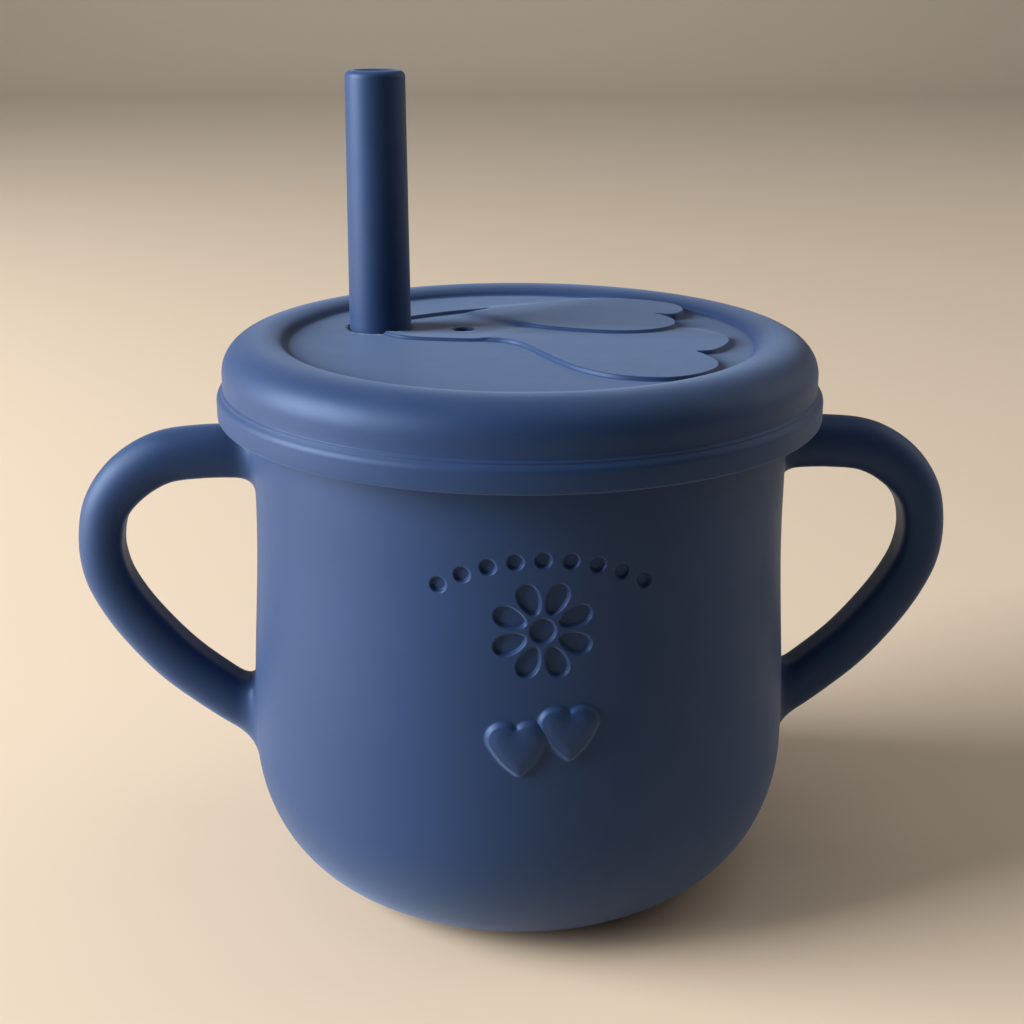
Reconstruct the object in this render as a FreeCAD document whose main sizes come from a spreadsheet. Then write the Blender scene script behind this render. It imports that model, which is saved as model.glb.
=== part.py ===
import FreeCAD, Part
import math
import os
import re
import Sketcher
from FreeCAD import Placement, Rotation, Vector

# A two-handled silicone training cup in three mouldings: the cup with its
# handles, the push-on lid and the drinking straw.
# +Z is up, the origin is the middle of the foot, the handles lie along X and
# the embossed front faces -Y. Lengths are in millimetres, angles in degrees.

DIMENSIONS = {
    # cup wall
    "foot_radius": 21.9,
    "foot_arc": 14.0,       # turn from the foot into the round bottom
    "bottom_arc": 24.3,     # the round bottom above that turn
    "bottom_turn": 47.9,    # angle at which the two arcs meet
    "neck_radius": 37.05,
    "neck_height": 52.0,
    "wall_thick": 2.6,
    "bead_radius": 39.0,    # rim bead that the lid grips
    "bead_bottom": 71.4,
    "bead_slope": 1.9,      # height of the bead's sloping underside
    "rim_height": 75.0,
    "rim_round": 1.0,
    # handles
    "grip_root": 35.5,      # where a handle ends, inside the wall
    "grip_out": 62.2,
    "grip_level": 49.4,     # height of the handle's widest place
    "grip_width": 7.5,
    "outer_bend": 16.0,
    "outer_side": 22.3,
    "outer_tail": 48.0,
    "outer_turn": 30.3,
    "outer_end": 53.4,
    "inner_out": 56.15,
    "inner_bend": 9.2,
    "inner_side": 13.3,
    "inner_tail": 45.5,
    "inner_turn": 29.4,
    "inner_end": 54.4,
    "outer_round": 2.6,
    "inner_round": 0.9,
    # raised and sunk marks on the front
    "relief_back": 36.0,    # where the marks start, inside the wall
    "relief_reach": 6.0,
    "relief_out": 0.8,
    "relief_in": 0.6,
    "small_lobe": 2.05,
    "small_spread": 1.6,
    "small_reach": 5.4,
    "daisy_height": 49.2,
    "daisy_reach": 4.35,
    "petal_radius": 1.5,
    "daisy_core": 2.1,
    "dot_arc": 24.9,
    "dot_centre": 33.4,     # height of the centre of the arc of dots
    "dot_radius": 0.95,
    "dot_step": 7.8,
    # lid
    "band_radius": 41.75,
    "band_bottom": 67.9,
    "band_top": 71.0,
    "skirt_radius": 40.8,
    "shoulder_arc": 4.6,
    "crest_radius": 35.4,
    "crest_height": 78.5,
    "disc_radius": 32.2,
    "disc_height": 77.2,
    "disc_thick": 2.0,
    "lid_gap": 0.3,         # between the lid and the cup, all round
    "plug_thick": 2.2,
    "plug_bottom": 70.6,
    "lid_turn": -25.5,      # how far the lid is turned on the cup
    "boss_radius": 7.2,
    "vent_x": -9.7,
    "vent_y": 3.0,
    "vent_radius": 1.45,
    "pad_rise": 0.5,
    "front_rise": 0.6,
    "rear_rise": 1.0,
    "front_lobe": 8.2,
    "front_spread": 7.5,
    "front_reach": 21.9,
    "rear_lobe": 7.1,
    "rear_spread": 4.8,
    "rear_reach": 21.6,
    # straw
    "straw_offset": 21.3,   # from the middle of the lid
    "straw_radius": 4.35,
    "mouth_radius": 4.12,
    "bore_radius": 2.35,
    "straw_bottom": 6.5,
    "straw_taper": 80.0,    # height where the straw starts to taper
    "straw_top": 112.7,
    "mouth_round": 0.8,
    "straw_gap": 0.05,
}
PETALS = 8
DOTS_EACH_SIDE = 4
PAD_CORNERS = (  # in the lid's own frame
    (-22.2, 1.4), (-21.6, -2.3), (-19.0, -4.1), (-15.4, -6.1), (-12.4, -6.1), (-6.9, -5.0), (0.6, -3.0),
    (2.8, 8.0), (-11.1, 16.3), (-15.2, 14.8), (-19.5, 6.5),
)
FRONT_HEARTS = ((-2.8, 29.85, 3.5), (3.25, 31.75, 0.5))  # tip across, tip height, lean
LID_HEARTS = (  # name of its sizes, tip in the lid's own frame, turn
    ("front", (-1.2, -2.9), -83.8),
    ("rear", (-12.5, 15.3), -81.0),
)


def make_sheet(doc):
    sheet = doc.addObject("Spreadsheet::Sheet", "dims")
    for row, (alias, value) in enumerate(DIMENSIONS.items(), start=1):
        sheet.set(f"A{row}", alias)
        sheet.set(f"B{row}", str(value))
        sheet.setAlias(f"B{row}", alias)
    doc.recompute()
    return sheet


def named(expression):
    """Puts the sheet's name before each alias in an expression."""
    return re.sub(r"\b(" + "|".join(DIMENSIONS) + r")\b", r"dims.\1", expression)


def worked_out(sketch, expression):
    return float(sketch.evalExpression(named(expression)))


# ---- sketches ---------------------------------------------------------
def sketch_on(body, name, role):
    """A sketch on one of the body's own origin planes."""
    sketch = body.newObject("Sketcher::SketchObject", name)
    plane = next(f for f in body.Origin.OriginFeatures if f.Role == role)
    sketch.AttachmentSupport = [(plane, "")]
    sketch.MapMode = "FlatFace"
    return sketch


def free_sketch(doc, name, base, rotation):
    sketch = doc.addObject("Sketcher::SketchObject", name)
    sketch.Placement = Placement(base, rotation)
    return sketch


def hold(sketch, geometry, end, x, y):
    """Holds a point at two expressions, measured from the sketch's origin."""
    for kind, axis, expression in (("DistanceX", -2, x), ("DistanceY", -1, y)):
        if expression == "0":
            sketch.addConstraint(Sketcher.Constraint("PointOnObject", geometry, end, axis))
            continue
        start = worked_out(sketch, expression)
        index = sketch.addConstraint(Sketcher.Constraint(kind, -1, 1, geometry, end, start))
        sketch.setExpression(f"Constraints[{index}]", named(expression))


def hold_radius(sketch, geometry, expression):
    start = worked_out(sketch, expression)
    index = sketch.addConstraint(Sketcher.Constraint("Radius", geometry, start))
    sketch.setExpression(f"Constraints[{index}]", named(expression))


def arc_centre(start, end, radius, left):
    """Centre of the arc from start to end that turns left or right by less than half a turn."""
    chord = end - start
    rise = math.sqrt(max(radius ** 2 - chord.Length ** 2 / 4, 0.0))
    side = Vector(-chord.y, chord.x, 0).normalize()
    return (start + end) * 0.5 + side * (rise if left else -rise)


def add_arc(sketch, start, end, radius, left):
    """Adds the arc. The sketcher's arcs run anticlockwise, so a right turn is stored from its end."""
    centre = arc_centre(start, end, radius, left)
    first, last = (start, end) if left else (end, start)
    angles = [math.atan2(p.y - centre.y, p.x - centre.x) for p in (first, last)]
    if angles[1] < angles[0]:
        angles[1] += 2 * math.pi
    circle = Part.Circle(centre, Vector(0, 0, 1), radius)
    return sketch.addGeometry(Part.ArcOfCircle(circle, *angles))


def draw_outline(sketch, corners):
    """A closed outline. A corner is (x, y), reached by a line, or (x, y, radius, side), by an arc."""
    points = [Vector(worked_out(sketch, c[0]), worked_out(sketch, c[1]), 0) for c in corners]
    ends = []
    for here, corner in enumerate(corners):
        start, end = points[here - 1], points[here]
        if len(corner) == 2:
            geometry = sketch.addGeometry(Part.LineSegment(start, end))
            ends.append((geometry, 1, 2))
        else:
            left = corner[3] == "left"
            geometry = add_arc(sketch, start, end, worked_out(sketch, corner[2]), left)
            ends.append((geometry, 1, 2) if left else (geometry, 2, 1))
    for here, (geometry, first, last) in enumerate(ends):
        before = ends[here - 1]
        sketch.addConstraint(Sketcher.Constraint("Coincident", before[0], before[2], geometry, first))
        hold(sketch, geometry, last, corners[here][0], corners[here][1])
        if len(corners[here]) > 2:
            hold_radius(sketch, geometry, corners[here][2])


def draw_circles(sketch, circles):
    """Circles, each (x, y, radius)."""
    for x, y, radius in circles:
        centre = Vector(worked_out(sketch, x), worked_out(sketch, y), 0)
        circle = Part.Circle(centre, Vector(0, 0, 1), worked_out(sketch, radius))
        geometry = sketch.addGeometry(circle)
        hold(sketch, geometry, 3, x, y)
        hold_radius(sketch, geometry, radius)


def draw_heart(sketch, size):
    """A heart with its tip at the sketch's origin and its lobes towards +Y."""
    lobe, spread, reach = (f"{size}_{word}" for word in ("lobe", "spread", "reach"))
    side = f"(atan({reach} / {spread}) - asin({lobe} / sqrt({reach}^2 + {spread}^2)))"
    run = f"sqrt({reach}^2 + {spread}^2 - {lobe}^2)"
    across, up = f"{run} * cos{side}", f"{run} * sin{side}"
    crown = f"{reach} + {lobe}"
    notch = f"{reach} + sqrt({lobe}^2 - {spread}^2)"
    draw_outline(sketch, [
        ("0", "0"),
        (across, up),
        (spread, crown, lobe, "left"),
        ("0", notch, lobe, "left"),
        (f"-{spread}", crown, lobe, "left"),
        (f"-{across}", up, lobe, "left"),
    ])


# ---- features ---------------------------------------------------------
def revolved(doc, name, corners):
    """A body turned round its own Z axis from an outline of (radius, height)."""
    body = doc.addObject("PartDesign::Body", name)
    sketch = sketch_on(body, f"{name}_section", "XZ_Plane")
    draw_outline(sketch, corners)
    turned = body.newObject("PartDesign::Revolution", f"{name}_turned")
    turned.Profile = sketch
    turned.ReferenceAxis = (sketch, ["V_Axis"])
    turned.Angle = 360
    doc.recompute()
    return body


def extruded(doc, name, sketch, forward, backward="0"):
    prism = doc.addObject("Part::Extrusion", name)
    prism.Base = sketch
    prism.DirMode = "Normal"
    prism.Solid = True
    prism.setExpression("LengthFwd", named(forward))
    prism.setExpression("LengthRev", named(backward))
    return prism


def cylinder(doc, name, radius, bottom, height, x="0", y="0"):
    post = doc.addObject("Part::Cylinder", name)
    post.setExpression("Radius", named(radius))
    post.setExpression("Height", named(height))
    for axis, expression in (("x", x), ("y", y), ("z", bottom)):
        post.setExpression(f"Placement.Base.{axis}", named(expression))
    return post


def joined(doc, name, pieces):
    fuse = doc.addObject("Part::MultiFuse", name)
    fuse.Shapes = pieces
    fuse.Refine = True
    return fuse


def boolean(doc, kind, name, base, tool):
    result = doc.addObject(f"Part::{kind}", name)
    result.Base, result.Tool = base, tool
    return result


# ---- cup --------------------------------------------------------------
def bottom_point(inset):
    """Where the two bottom arcs meet, and the widest point, on the wall moved in by inset."""
    meet = (
        f"foot_radius + (foot_arc - {inset}) * sin(bottom_turn)",
        f"foot_arc - (foot_arc - {inset}) * cos(bottom_turn)",
    )
    centre_x = "foot_radius + (foot_arc - bottom_arc) * sin(bottom_turn)"
    centre_y = "foot_arc + (bottom_arc - foot_arc) * cos(bottom_turn)"
    belly = (f"{centre_x} + bottom_arc - {inset}", centre_y)
    return meet, belly


def cup_wall(doc):
    out_meet, out_belly = bottom_point("0")
    in_meet, in_belly = bottom_point("wall_thick")
    return revolved(doc, "cup_wall", [
        ("0", "0"),
        ("foot_radius", "0"),
        (*out_meet, "foot_arc", "left"),
        (*out_belly, "bottom_arc", "left"),
        ("neck_radius", "neck_height"),
        ("neck_radius", "bead_bottom - bead_slope"),
        ("bead_radius", "bead_bottom"),
        ("bead_radius", "rim_height - rim_round"),
        ("bead_radius - rim_round", "rim_height", "rim_round", "left"),
        ("neck_radius - wall_thick + rim_round", "rim_height"),
        ("neck_radius - wall_thick", "rim_height - rim_round", "rim_round", "left"),
        ("neck_radius - wall_thick", "neck_height"),
        in_belly,
        (*in_meet, "bottom_arc - wall_thick", "right"),
        ("foot_radius", "wall_thick", "foot_arc - wall_thick", "right"),
        ("0", "wall_thick"),
    ])


def swept(radius, centre_x, centre_y, angle):
    """A point on an arc, by its angle below the level through the arc's centre."""
    return f"{centre_x} + {radius} * cos({angle})", f"{centre_y} - {radius} * sin({angle})"


def tail(side, out):
    """The three points of a handle's edge below its widest place: two arcs and a straight end."""
    bend, far, turn, end = (f"{side}_{word}" for word in ("side", "tail", "turn", "end"))
    elbow = swept(bend, f"{out} - {bend}", "grip_level", turn)
    centre_x = f"{out} - {bend} + ({bend} - {far}) * cos({turn})"
    centre_y = f"grip_level + ({far} - {bend}) * sin({turn})"
    low = swept(far, centre_x, centre_y, end)
    root_height = f"{low[1]} - ({low[0]} - grip_root) * cos({end}) / sin({end})"
    return elbow, low, ("grip_root", root_height)


def round_arcs(doc, body, name, arc_radius, fillet_radius):
    """Fillets the edges of the body's last feature that hold an arc of that radius."""
    doc.recompute()
    base = body.Tip
    wanted = DIMENSIONS[arc_radius]
    edges = [
        f"Edge{number}"
        for number, edge in enumerate(base.Shape.Edges, start=1)
        if isinstance(edge.Curve, Part.Circle) and abs(edge.Curve.Radius - wanted) < 1e-6
    ]
    fillet = body.newObject("PartDesign::Fillet", name)
    fillet.Base = (base, edges)
    fillet.setExpression("Radius", named(fillet_radius))
    body.Tip = fillet


def handle(doc):
    """A band with a soft back and a nearly flat inner face, ending inside the cup's wall."""
    body = doc.addObject("PartDesign::Body", "handle")
    sketch = sketch_on(body, "handle_outline", "XZ_Plane")
    outer_elbow, outer_low, outer_root = tail("outer", "grip_out")
    inner_elbow, inner_low, inner_root = tail("inner", "inner_out")
    draw_outline(sketch, [
        ("grip_root", "grip_level + inner_bend"),
        ("inner_out - inner_bend", "grip_level + inner_bend"),
        ("inner_out", "grip_level", "inner_bend", "right"),
        (*inner_elbow, "inner_side", "right"),
        (*inner_low, "inner_tail", "right"),
        inner_root,
        outer_root,
        outer_low,
        (*outer_elbow, "outer_tail", "left"),
        ("grip_out", "grip_level", "outer_side", "left"),
        ("grip_out - outer_bend", "grip_level + outer_bend", "outer_bend", "left"),
        ("grip_root", "grip_level + outer_bend"),
    ])
    band = body.newObject("PartDesign::Pad", "handle_band")
    band.Profile = sketch
    band.SideType = "Symmetric"
    band.setExpression("Length", named("grip_width"))
    body.Tip = band
    round_arcs(doc, body, "handle_back", "outer_bend", "outer_round")
    round_arcs(doc, body, "handle_front", "inner_bend", "inner_round")
    return body


def mirrored(doc, name, source):
    copy = doc.addObject("Part::Mirroring", name)
    copy.Source = source
    copy.Normal = Vector(1, 0, 0)
    return copy


# ---- marks on the front ------------------------------------------------
def wall_follower(doc, name, offset):
    """A solid inside the cup's outer wall, moved out by offset, that trims the marks' depth."""
    _, belly = bottom_point("0")
    return revolved(doc, name, [
        ("0", belly[1]),
        (f"{belly[0]} + {offset}", belly[1]),
        (f"neck_radius + {offset}", "neck_height"),
        (f"neck_radius + {offset}", "band_bottom"),
        ("0", "band_bottom"),
    ])


def front_sketch(doc, name, across=0.0, height=0.0, lean=0.0):
    """An upright sketch behind the front wall, facing -Y."""
    upright = Rotation(Vector(1, 0, 0), 90) * Rotation(Vector(0, 0, 1), lean)
    return free_sketch(doc, name, Vector(across, -DIMENSIONS["relief_back"], height), upright)


def front_hearts(doc):
    prisms = []
    for number, (across, height, lean) in enumerate(FRONT_HEARTS, start=1):
        sketch = front_sketch(doc, f"front_heart_{number}", across, height, lean)
        draw_heart(sketch, "small")
        prisms.append(extruded(doc, f"front_heart_{number}_prism", sketch, "relief_reach"))
    both = joined(doc, "front_heart_prisms", prisms)
    return boolean(doc, "Common", "front_hearts", both, wall_follower(doc, "raised_wall", "relief_out"))


def daisy_and_dots(doc):
    """A sunk flower of round petals under an arc of sunk dots."""
    circles = [("0", "daisy_height", "daisy_core")]
    for petal in range(PETALS):
        turn = f"({petal} * 360 / {PETALS} + 22.5)"
        circles.append((
            f"daisy_reach * cos{turn}", f"daisy_height + daisy_reach * sin{turn}", "petal_radius",
        ))
    for dot in range(-DOTS_EACH_SIDE, DOTS_EACH_SIDE + 1):
        turn = f"({dot} * dot_step)"
        circles.append((f"dot_arc * sin{turn}", f"dot_centre + dot_arc * cos{turn}", "dot_radius"))
    sketch = front_sketch(doc, "daisy_and_dots")
    draw_circles(sketch, circles)
    prisms = extruded(doc, "daisy_and_dots_prisms", sketch, "relief_reach", "relief_out")
    return boolean(doc, "Cut", "sunk_marks", prisms, wall_follower(doc, "sunk_wall", "-relief_in"))


def cup_body(doc):
    grip = handle(doc)
    whole = joined(doc, "cup_whole", [
        cup_wall(doc), grip, mirrored(doc, "other_handle", grip), front_hearts(doc),
    ])
    return boolean(doc, "Cut", "cup_body", whole, daisy_and_dots(doc))


# ---- lid --------------------------------------------------------------
def lid_shell(doc):
    plug_out = "neck_radius - wall_thick - lid_gap"
    under_disc = "disc_height - disc_thick"
    return revolved(doc, "lid_shell", [
        ("0", under_disc),
        (f"{plug_out} - plug_thick", under_disc),
        (f"{plug_out} - plug_thick", "plug_bottom"),
        (plug_out, "plug_bottom"),
        (plug_out, "rim_height"),
        ("bead_radius + lid_gap", "rim_height"),
        ("bead_radius + lid_gap", "band_bottom"),
        ("band_radius", "band_bottom"),
        ("band_radius", "band_top"),
        ("skirt_radius", "band_top"),
        ("skirt_radius", "crest_height - shoulder_arc"),
        ("skirt_radius - shoulder_arc", "crest_height", "shoulder_arc", "left"),
        ("crest_radius", "crest_height"),
        ("disc_radius", "disc_height"),
        ("0", "disc_height"),
    ])


def lid_sketch(doc, name, base=(0.0, 0.0), turn=0.0):
    """A level sketch in the middle of the lid's disc."""
    height = DIMENSIONS["disc_height"] - DIMENSIONS["disc_thick"] / 2
    return free_sketch(doc, name, Vector(*base, height), Rotation(Vector(0, 0, 1), turn))


def lid_marks(doc):
    """The pad round the straw and the two hearts beside it."""
    pad = lid_sketch(doc, "pad_outline")
    draw_outline(pad, [(str(x), str(y)) for x, y in PAD_CORNERS])
    marks = [extruded(doc, "pad", pad, "disc_thick / 2 + pad_rise")]
    for size, tip, turn in LID_HEARTS:
        sketch = lid_sketch(doc, f"{size}_heart_outline", tip, turn)
        draw_heart(sketch, size)
        marks.append(extruded(doc, f"{size}_heart", sketch, f"disc_thick / 2 + {size}_rise"))
    return marks


def lid(doc):
    """Built in its own frame, with the straw's hole on its -X side, then turned on the cup."""
    boss = cylinder(
        doc, "straw_boss", "boss_radius", "plug_bottom", "disc_height - plug_bottom", "-straw_offset",
    )
    whole = joined(doc, "lid_whole", [lid_shell(doc), boss, *lid_marks(doc)])
    holes = joined(doc, "lid_holes", [
        cylinder(
            doc, "straw_hole", "straw_radius + straw_gap", "band_bottom", "disc_height", "-straw_offset",
        ),
        cylinder(doc, "vent", "vent_radius", "band_bottom", "disc_height", "vent_x", "vent_y"),
    ])
    return boolean(doc, "Cut", "lid", whole, holes)


# ---- straw ------------------------------------------------------------
def straw(doc):
    return revolved(doc, "straw", [
        ("bore_radius", "straw_bottom"),
        ("straw_radius", "straw_bottom"),
        ("straw_radius", "straw_taper"),
        ("mouth_radius", "straw_top - mouth_round"),
        ("mouth_radius - mouth_round", "straw_top", "mouth_round", "left"),
        ("bore_radius + mouth_round", "straw_top"),
        ("bore_radius", "straw_top - mouth_round", "mouth_round", "left"),
    ])


# ---- the whole cup ----------------------------------------------------
def check(doc, parts):
    failed = [o.Name for o in doc.Objects if {"Invalid", "Error"} & set(o.State)]
    if failed:
        raise RuntimeError(f"features that failed: {failed}")
    for part in parts:
        if part.Shape.isNull() or not part.Shape.isValid() or not part.Shape.Solids:
            raise RuntimeError(f"{part.Label} has no valid solid")
        print(part.Label, len(part.Shape.Solids), "solid", round(part.Shape.Volume / 1000, 2), "cm3")


def main():
    doc = FreeCAD.newDocument("training_cup")
    make_sheet(doc)
    parts = [cup_body(doc), lid(doc), straw(doc)]
    turn = Rotation(Vector(0, 0, 1), DIMENSIONS["lid_turn"])
    parts[1].Placement = Placement(Vector(), turn)
    parts[2].Placement = Placement(turn.multVec(Vector(-DIMENSIONS["straw_offset"], 0, 0)), turn)
    doc.recompute()
    check(doc, parts)
    os.makedirs("parts", exist_ok=True)
    for part in parts:
        part.Shape.exportStep(f"parts/{part.Label}.step")


main()
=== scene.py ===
import math

import bmesh
import bpy
import numpy as np
from mathutils import Matrix, Vector
from mathutils.geometry import delaunay_2d_cdt


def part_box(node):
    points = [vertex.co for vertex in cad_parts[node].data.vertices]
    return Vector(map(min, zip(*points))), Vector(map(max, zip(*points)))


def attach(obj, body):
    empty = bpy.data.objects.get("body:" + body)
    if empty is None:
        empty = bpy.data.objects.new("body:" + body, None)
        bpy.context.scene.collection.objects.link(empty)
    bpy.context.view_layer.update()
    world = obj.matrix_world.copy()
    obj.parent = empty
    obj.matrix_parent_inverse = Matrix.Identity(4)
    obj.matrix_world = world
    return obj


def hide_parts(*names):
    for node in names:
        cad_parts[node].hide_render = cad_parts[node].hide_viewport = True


# A silicone training cup: the cup with its two handles, the lid and the straw.
# Each is one closed mesh in place of its CAD node, on the same axes. Shapes are
# worked out in millimetres and scaled to metres when a mesh is made.

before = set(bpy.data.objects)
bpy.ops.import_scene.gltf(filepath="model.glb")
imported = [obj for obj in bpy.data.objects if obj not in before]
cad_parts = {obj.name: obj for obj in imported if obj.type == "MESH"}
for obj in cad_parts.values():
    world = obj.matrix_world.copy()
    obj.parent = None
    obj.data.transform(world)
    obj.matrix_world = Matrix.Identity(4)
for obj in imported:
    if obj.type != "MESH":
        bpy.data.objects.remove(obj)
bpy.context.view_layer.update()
MM = 0.001


def box_mm(node):
    low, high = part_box(node)
    return np.array(low) / MM, np.array(high) / MM


cup_low, cup_high = box_mm("cup_body")
lid_low, lid_high = box_mm("lid")
straw_low, straw_high = box_mm("straw")
straw_at = (straw_low + straw_high)[:2] / 2

# ---- driving sizes, millimetres and degrees ----------------------------
FOOT_RADIUS = 21.9
BELLY_RADIUS = 38.55
BELLY_HEIGHT = 20.5
BOTTOM_POWER = 2.1          # superellipse of the round bottom
NECK_RADIUS = 37.05
NECK_HEIGHT = 56.0
WALL = 2.6
RIM_HEIGHT = cup_high[2]
BEAD_RADIUS = 39.0
BEAD_BOTTOM = 71.4

GRIP_HALF_WIDTH = 3.6
GRIP_SECTIONS = (3.1, 3.7)  # half thicknesses that the sections between are mixed from
GRIP_LEAN = 0.5             # how far the round section's middle lies towards the hole
GRIP_EDGE_ROUND = 0.6       # corner radius of the flat inner face
GRIP_BLEND = 3.0            # how widely a handle melts into the wall
# across, height and half thickness along a handle, from wall to wall
GRIP_LINE = (
    (30.0, 62.1, 3.62), (37.5, 62.13, 3.62), (44.0, 62.15, 3.6), (49.8, 61.35, 3.55),
    (54.5, 58.6, 3.48), (57.8, 54.5, 3.25), (58.98, 49.6, 3.15), (58.6, 45.0, 3.27),
    (57.0, 40.95, 3.35), (54.05, 36.3, 3.45), (49.5, 30.9, 3.52), (44.5, 26.55, 3.52),
    (39.2, 22.7, 3.55), (31.0, 17.6, 3.55),
)

BAND_RADIUS = 41.65
BAND_TOP = 71.0
LIP_RADIUS = 41.06          # a fine lip just above the band
SKIRT_RADIUS = 40.8
SHOULDER_BOTTOM = 73.9
SHOULDER_POWER = 2.05       # superellipse of the rolled shoulder
CREST_HEIGHT = 78.5
CREST_RADIUS = 35.5
DISC_RADIUS = 32.2
DISC_HEIGHT = 77.2
DISC_THICK = 2.0
LID_GAP = 0.3
PLUG_THICK = 2.2
PLUG_BOTTOM = lid_low[2] + 2.4
BOSS_RADIUS = 7.2
VENT_AT = np.array([-7.5, 6.9])
VENT_RADIUS = 1.45
VENT_SOFTEN = 0.3           # how far the vent's rounded edge reaches out
HOLE_SOFTEN = 0.12          # and the straw hole's

STRAW_RADIUS = 4.35
MOUTH_RADIUS = 4.12
BORE_RADIUS = 2.35
STRAW_TAPER = 80.0
STRAW_GAP = 0.05

# the front's marks: across from the middle and up from the foot
FRONT_HEARTS = ((-2.8, 29.85, 3.5), (3.25, 31.75, 0.5))  # tip across, tip height, lean
DAISY_HEIGHT = 49.2
PETALS = 8
DOTS = 9
DOT_STEP = 7.8              # degrees between dots
DOT_ARC_RADIUS = 24.9
DOT_ARC_HEIGHT = 33.4       # the height of that arc's centre
SINK = -0.55
SINK_EDGE = 0.4

NAVY = (0.008, 0.0245, 0.082)

COLUMNS = 240               # facets round the cup and the lid
HOLE_COLUMNS = 72
VENT_COLUMNS = 40
GRIP_COLUMNS = 64
FLAT_RADIUS = 37.0          # the cup's unrolled map is this radius times the angle


# ---- plane curves ------------------------------------------------------
def unit(v):
    return v / np.linalg.norm(v)


def turned(points, degrees, base):
    """Points turned about the origin, counterclockwise, and then moved to base."""
    a = math.radians(degrees)
    spin = np.array([[math.cos(a), math.sin(a)], [-math.sin(a), math.cos(a)]])
    return points @ spin + np.array(base)


def rounded(corners, facet=0.25, step=1.5):
    """Points along the corners (x, y, radius), each inner corner turned by an arc of its radius.

    facet is about how long an arc's chords are, and no run is longer than step.
    """
    places = np.array([corner[:2] for corner in corners], float)
    points = [places[0]]
    for i in range(1, len(corners) - 1):
        here, radius = places[i], corners[i][2]
        if radius == 0.0:
            points.append(here)
            continue
        before, after = unit(places[i - 1] - here), unit(places[i + 1] - here)
        half = math.acos(max(-1.0, min(1.0, float(before @ after)))) / 2
        centre = here + unit(before + after) * radius / math.sin(half)
        start = here + before * radius / math.tan(half) - centre
        sweep = math.pi - 2 * half
        turn = math.copysign(math.degrees(sweep), float(before[1] * after[0] - before[0] * after[1]))
        parts = max(3, math.ceil(radius * sweep / facet))
        points += [turned(start, turn * k / parts, centre) for k in range(parts + 1)]
    points.append(places[-1])
    return divided(np.array(points), step)


def divided(points, step):
    """The same line with no run longer than step."""
    out = [points[0]]
    for a, b in zip(points, points[1:]):
        parts = max(1, math.ceil(np.linalg.norm(b - a) / step))
        out.extend(a + (b - a) * k / parts for k in range(1, parts + 1))
    return np.array(out)


def lengths(points):
    steps = np.linalg.norm(np.diff(points, axis=0), axis=1)
    return np.concatenate([[0.0], np.cumsum(steps)])


def spline(points, count):
    """A smooth curve through the points, evenly spaced along its length."""
    p = np.asarray(points, float)
    p = np.vstack([2 * p[0] - p[1], p, 2 * p[-1] - p[-2]])
    t = np.linspace(0, 1, 40, endpoint=False)[:, None]
    out = []
    for a, b, c, d in zip(p, p[1:], p[2:], p[3:]):
        out.append(0.5 * (2 * b + (c - a) * t + (2 * a - 5 * b + 4 * c - d) * t ** 2
                          + (3 * b - a - 3 * c + d) * t ** 3))
    dense = np.vstack([*out, p[-2:-1]])
    along = lengths(dense[:, :2])
    wanted = np.linspace(0, along[-1], count)
    return np.stack([np.interp(wanted, along, dense[:, k]) for k in range(p.shape[1])], axis=1)


def smooth_outline(*runs):
    """A closed outline of smooth runs that meet in corners."""
    return np.vstack([spline(run, 24 * len(run))[:-1] for run in runs])


def resampled(points, step):
    """Evenly spaced points along a closed outline, without the repeated last one."""
    along = lengths(points)
    count = max(8, round(along[-1] / step))
    wanted = np.arange(count) * along[-1] / count
    return np.stack([np.interp(wanted, along, points[:, k]) for k in range(2)], axis=1)


def circle(centre, radius, count):
    a = np.arange(count) * 2 * math.pi / count
    return np.array(centre) + radius * np.stack([np.cos(a), np.sin(a)], axis=1)


def normals(outline):
    """Unit normals at the points of a closed outline, on its right-hand side."""
    forward = np.roll(outline, -1, axis=0) - np.roll(outline, 1, axis=0)
    normal = np.stack([forward[:, 1], -forward[:, 0]], axis=1)
    return normal / np.linalg.norm(normal, axis=1)[:, None]


def inside(points, outline):
    """True for each point within a closed outline, by counting the sides that a level ray crosses."""
    hit = np.zeros(len(points), bool)
    for a, b in zip(outline, np.roll(outline, -1, axis=0)):
        crosses = (a[1] > points[:, 1]) != (b[1] > points[:, 1])
        if a[1] != b[1]:
            at = a[0] + (points[:, 1] - a[1]) / (b[1] - a[1]) * (b[0] - a[0])
            hit ^= crosses & (points[:, 0] < at)
    return hit


def distance(points, line):
    """Distance of each point from a line of short runs."""
    run = np.diff(line, axis=0)
    best = np.empty(len(points))
    for start in range(0, len(points), 4000):
        gap = points[start:start + 4000, None, :] - line[None, :-1]
        share = np.clip((gap * run).sum(2) / (run * run).sum(1), 0, 1)
        away = gap - share[..., None] * run
        best[start:start + 4000] = np.sqrt((away * away).sum(2).min(1))
    return best


def signed_distance(points, outline):
    """Distance of each point from a closed outline, negative inside it."""
    best = distance(points, np.vstack([outline, outline[:1]]))
    return np.where(inside(points, outline), -best, best)


def smooth_step(x):
    x = np.clip(x, 0, 1)
    return x * x * (3 - 2 * x)


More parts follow.
